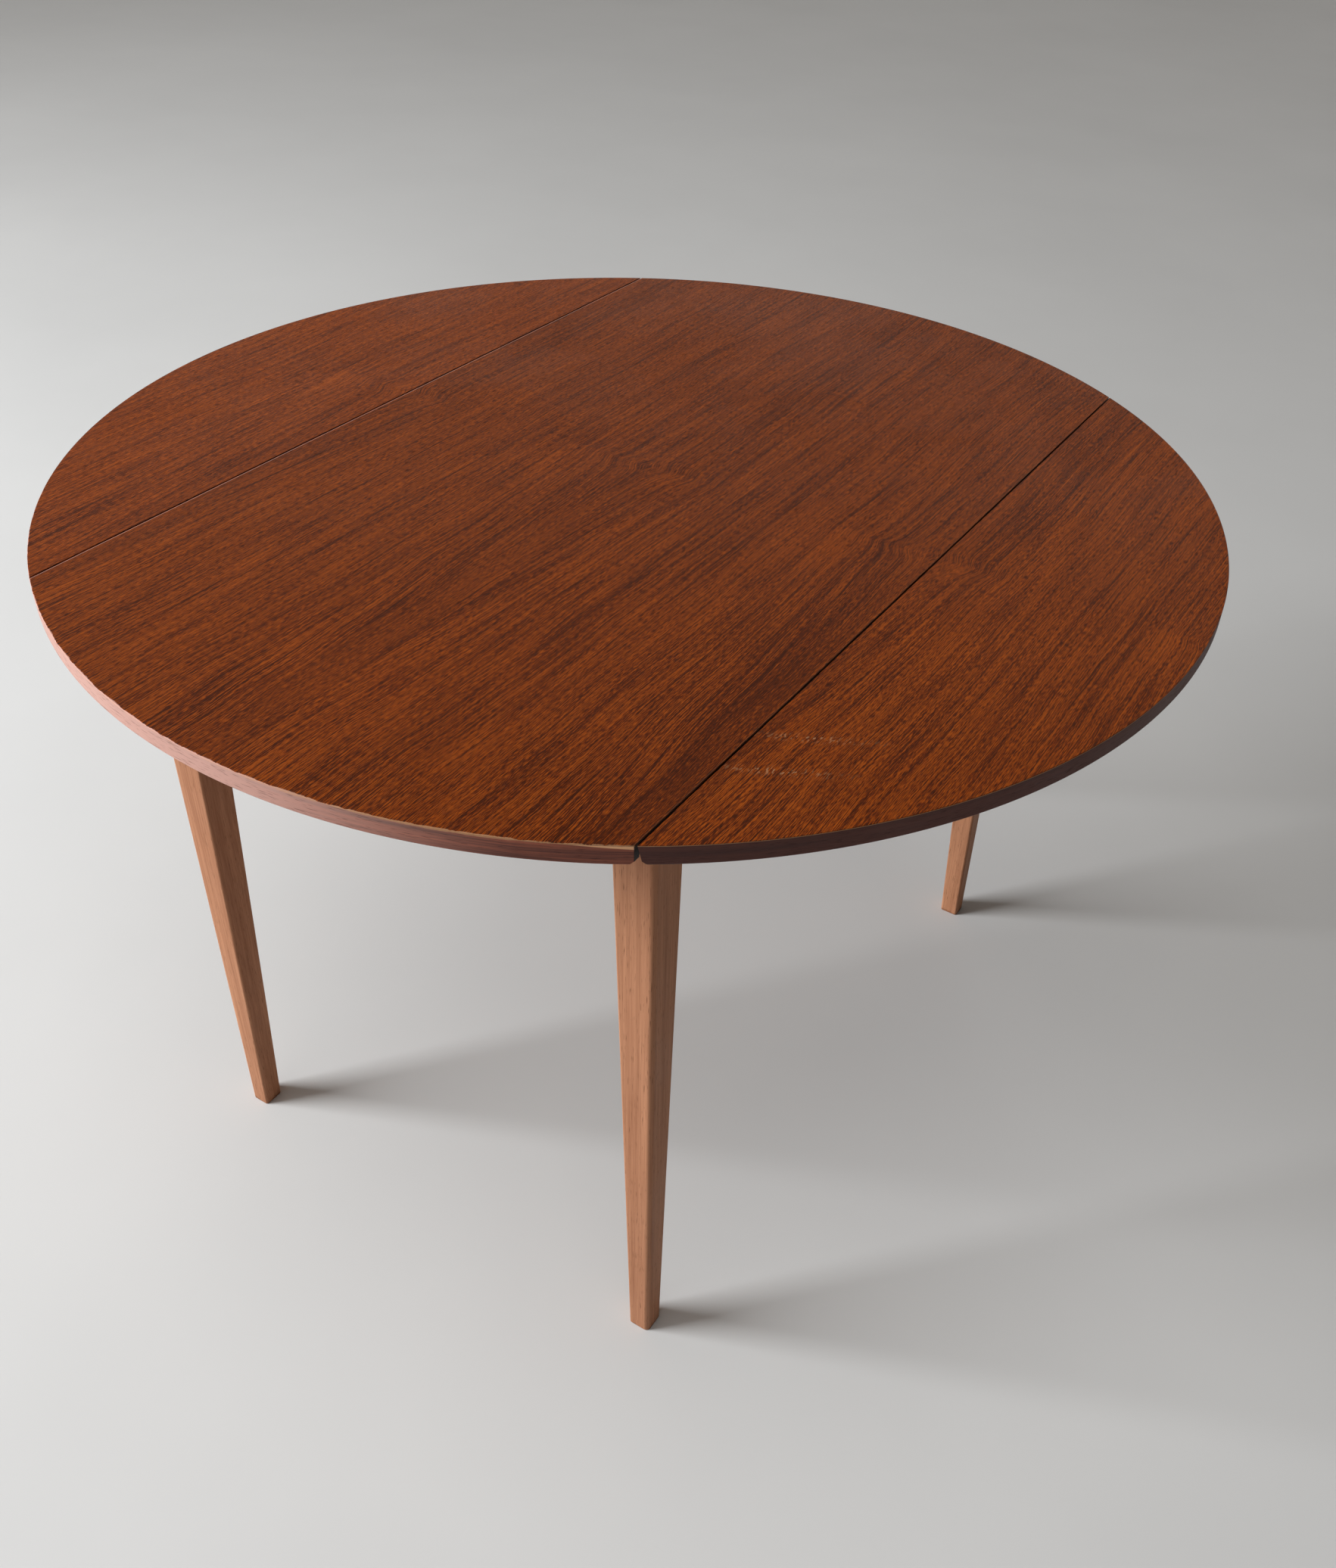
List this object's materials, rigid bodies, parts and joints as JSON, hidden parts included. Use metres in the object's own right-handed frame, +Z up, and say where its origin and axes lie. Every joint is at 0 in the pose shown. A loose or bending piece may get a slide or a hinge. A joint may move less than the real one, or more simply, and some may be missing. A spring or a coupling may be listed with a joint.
{
  "type": "drop leaf table",
  "caption": "Round veneered dining table with a fixed centre panel on tapered legs and hinged side leaves that drop, each held up by folding stays.",
  "frame": {"origin": "on the floor under the middle of the table", "axes": "+Z up; the two hinge lines run along Y; the right leaf is at +X and the left leaf at -X; the front is at -Y"},
  "size_m": [1.1298, 1.13, 0.73],
  "materials": {
    "top_veneer": "oiled teak veneer, satin",
    "rim_lipping": "oiled solid teak",
    "board": "veneered board, matt underside",
    "leg_wood": "stained solid wood, satin",
    "rail_wood": "stained solid wood, satin",
    "block_wood": "plain beech, unfinished",
    "hinge_brass": "dull brass",
    "stay_steel": "bright zinc",
    "screw_steel": "plain steel"
  },
  "bodies": {
    "table_frame": {"centre_lipping_back": "rim_lipping", "centre_lipping_front": "rim_lipping", "centre_panel": "board", "centre_veneer": "top_veneer", "corner_block_left_back": "block_wood", "corner_block_left_front": "block_wood", "corner_block_right_back": "block_wood", "corner_block_right_front": "block_wood", "corner_block_screws": "screw_steel", "end_rail_back": "rail_wood", "end_rail_front": "rail_wood", "hinge_fixed_screws": "screw_steel", "left_hinge_fixed_flaps": "hinge_brass", "left_hinge_pins": "hinge_brass", "leg_left_back": "leg_wood", "leg_left_front": "leg_wood", "leg_right_back": "leg_wood", "leg_right_front": "leg_wood", "right_hinge_fixed_flaps": "hinge_brass", "right_hinge_pins": "hinge_brass", "side_rail_left": "rail_wood", "side_rail_right": "rail_wood", "stay_pivot_pins": "stay_steel", "stay_plate_screws": "screw_steel", "stay_rail_plates": "stay_steel", "top_fixing_screws": "screw_steel"},
    "right_leaf": {"right_hinge_leaf_flaps": "hinge_brass", "right_hinge_leaf_screws": "screw_steel", "right_leaf_lipping": "rim_lipping", "right_leaf_panel": "board", "right_leaf_veneer": "top_veneer", "right_stay_bracket_screws": "screw_steel", "right_stay_brackets": "stay_steel"},
    "left_leaf": {"left_hinge_leaf_flaps": "hinge_brass", "left_hinge_leaf_screws": "screw_steel", "left_leaf_lipping": "rim_lipping", "left_leaf_panel": "board", "left_leaf_veneer": "top_veneer", "left_stay_bracket_screws": "screw_steel", "left_stay_brackets": "stay_steel"},
    "left_back_stay": {"stay_slot_pin_left_back": "stay_steel", "stay_strut_left_back": "stay_steel"},
    "left_front_stay": {"stay_slot_pin_left_front": "stay_steel", "stay_strut_left_front": "stay_steel"},
    "right_back_stay": {"stay_slot_pin_right_back": "stay_steel", "stay_strut_right_back": "stay_steel"},
    "right_front_stay": {"stay_slot_pin_right_front": "stay_steel", "stay_strut_right_front": "stay_steel"}
  },
  "joints": [
    {"name": "right_leaf_drop", "type": "hinge", "parent": "table_frame", "child": "right_leaf", "pos_m": [0.315, 0, 0.7136], "axis": [0, 1, 0], "range_deg": [0, 90]},
    {"name": "left_leaf_drop", "type": "hinge", "parent": "table_frame", "child": "left_leaf", "pos_m": [-0.315, 0, 0.7136], "axis": [0, -1, 0], "range_deg": [0, 90]},
    {"name": "right_back_stay_turn", "type": "hinge", "parent": "table_frame", "child": "right_back_stay", "pos_m": [0.2898, 0.17047, 0.6884], "axis": [0, 1, 0], "range_deg": [0, 90]},
    {"name": "right_front_stay_turn", "type": "hinge", "parent": "table_frame", "child": "right_front_stay", "pos_m": [0.2898, -0.17047, 0.6884], "axis": [0, 1, 0], "range_deg": [0, 90]},
    {"name": "left_back_stay_turn", "type": "hinge", "parent": "table_frame", "child": "left_back_stay", "pos_m": [-0.2898, 0.17047, 0.6884], "axis": [0, -1, 0], "range_deg": [0, 90]},
    {"name": "left_front_stay_turn", "type": "hinge", "parent": "table_frame", "child": "left_front_stay", "pos_m": [-0.2898, -0.17047, 0.6884], "axis": [0, -1, 0], "range_deg": [0, 90]}
  ],
  "couplings": [
    {"joint": "right_back_stay_turn", "follows": "right_leaf_drop", "ratio": 1},
    {"joint": "right_front_stay_turn", "follows": "right_leaf_drop", "ratio": 1},
    {"joint": "left_back_stay_turn", "follows": "left_leaf_drop", "ratio": 1},
    {"joint": "left_front_stay_turn", "follows": "left_leaf_drop", "ratio": 1}
  ]
}
